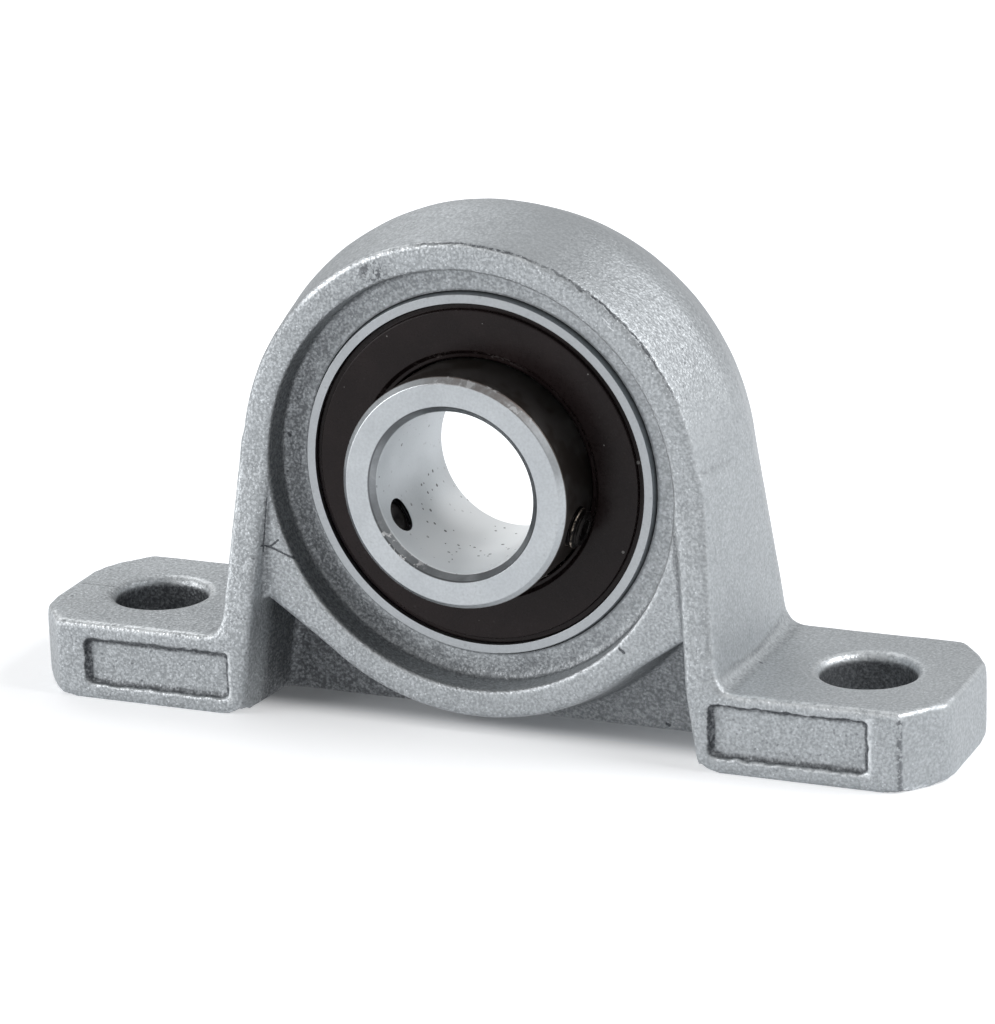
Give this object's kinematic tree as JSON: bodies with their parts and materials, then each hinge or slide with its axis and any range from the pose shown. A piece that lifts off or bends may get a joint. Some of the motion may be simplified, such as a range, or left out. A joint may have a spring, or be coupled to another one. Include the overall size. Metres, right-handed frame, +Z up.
{
  "type": "pillow block bearing",
  "caption": "Small cast two-bolt pillow block with a self-aligning ball bearing insert, rubber seals and set screws for the shaft.",
  "frame": {"origin": "centre of the two bolt holes on the mounting plane, under the shaft's centre", "axes": "+X along the foot, +Y along the shaft from the set-screw side to the rear, +Z up from the mounting plane"},
  "size_m": [0.071, 0.0167, 0.038],
  "materials": {
    "cast_housing": "fine blasted zinc casting",
    "bearing_steel": "ground",
    "seal_rubber": "moulded, satin",
    "pressed_steel": "bright rolled",
    "ball_steel": "polished",
    "black_steel": "black oxide"
  },
  "bodies": {
    "housing": {"housing": "cast_housing"},
    "outer_race": {"outer_ring": "bearing_steel", "front_seal": "seal_rubber", "front_seal_core": "pressed_steel", "rear_seal": "seal_rubber", "rear_seal_core": "pressed_steel"},
    "inner_race": {"inner_ring": "bearing_steel"},
    "cage": {"cage_front_half": "pressed_steel", "cage_rear_half": "pressed_steel", "cage_rivets": "pressed_steel"},
    "ball_1": {"ball_1": "ball_steel"},
    "ball_2": {"ball_2": "ball_steel"},
    "ball_3": {"ball_3": "ball_steel"},
    "ball_4": {"ball_4": "ball_steel"},
    "ball_5": {"ball_5": "ball_steel"},
    "ball_6": {"ball_6": "ball_steel"},
    "ball_7": {"ball_7": "ball_steel"},
    "ball_8": {"ball_8": "ball_steel"},
    "set_screw_1": {"set_screw_1": "black_steel"},
    "set_screw_2": {"set_screw_2": "black_steel"}
  },
  "joints": [
    {"name": "self_alignment", "type": "hinge", "parent": "housing", "child": "outer_race", "pos_m": [0, 0, 0.019], "axis": [1, 0, 0], "range_deg": [-2.5, 2.5]},
    {"name": "shaft_spin", "type": "hinge", "parent": "outer_race", "child": "inner_race", "pos_m": [0, 0, 0.019], "axis": [0, 1, 0], "continuous": true},
    {"name": "cage_orbit", "type": "hinge", "parent": "outer_race", "child": "cage", "pos_m": [0, 0, 0.019], "axis": [0, 1, 0], "continuous": true},
    {"name": "ball_1_roll", "type": "hinge", "parent": "cage", "child": "ball_1", "pos_m": [0, 0, 0.029], "axis": [0, 1, 0], "continuous": true},
    {"name": "ball_2_roll", "type": "hinge", "parent": "cage", "child": "ball_2", "pos_m": [-0.00707, 0, 0.02607], "axis": [0, 1, 0], "continuous": true},
    {"name": "ball_3_roll", "type": "hinge", "parent": "cage", "child": "ball_3", "pos_m": [-0.01, 0, 0.019], "axis": [0, 1, 0], "continuous": true},
    {"name": "ball_4_roll", "type": "hinge", "parent": "cage", "child": "ball_4", "pos_m": [-0.00707, 0, 0.01193], "axis": [0, 1, 0], "continuous": true},
    {"name": "ball_5_roll", "type": "hinge", "parent": "cage", "child": "ball_5", "pos_m": [0, 0, 0.009], "axis": [0, 1, 0], "continuous": true},
    {"name": "ball_6_roll", "type": "hinge", "parent": "cage", "child": "ball_6", "pos_m": [0.00707, 0, 0.01193], "axis": [0, 1, 0], "continuous": true},
    {"name": "ball_7_roll", "type": "hinge", "parent": "cage", "child": "ball_7", "pos_m": [0.01, 0, 0.019], "axis": [0, 1, 0], "continuous": true},
    {"name": "ball_8_roll", "type": "hinge", "parent": "cage", "child": "ball_8", "pos_m": [0.00707, 0, 0.02607], "axis": [0, 1, 0], "continuous": true},
    {"name": "set_screw_1_travel", "type": "slide", "parent": "inner_race", "child": "set_screw_1", "axis": [-0.8788, 0, -0.4772], "range_m": [-0.0003, 0.0015]},
    {"name": "set_screw_2_travel", "type": "slide", "parent": "inner_race", "child": "set_screw_2", "axis": [0.9588, 0, -0.284], "range_m": [-0.0003, 0.0015]}
  ],
  "couplings": [
    {"joint": "cage_orbit", "follows": "shaft_spin", "ratio": 0.38095},
    {"joint": "ball_1_roll", "follows": "shaft_spin", "ratio": -1.981},
    {"joint": "ball_2_roll", "follows": "shaft_spin", "ratio": -1.981},
    {"joint": "ball_3_roll", "follows": "shaft_spin", "ratio": -1.981},
    {"joint": "ball_4_roll", "follows": "shaft_spin", "ratio": -1.981},
    {"joint": "ball_5_roll", "follows": "shaft_spin", "ratio": -1.981},
    {"joint": "ball_6_roll", "follows": "shaft_spin", "ratio": -1.981},
    {"joint": "ball_7_roll", "follows": "shaft_spin", "ratio": -1.981},
    {"joint": "ball_8_roll", "follows": "shaft_spin", "ratio": -1.981}
  ]
}
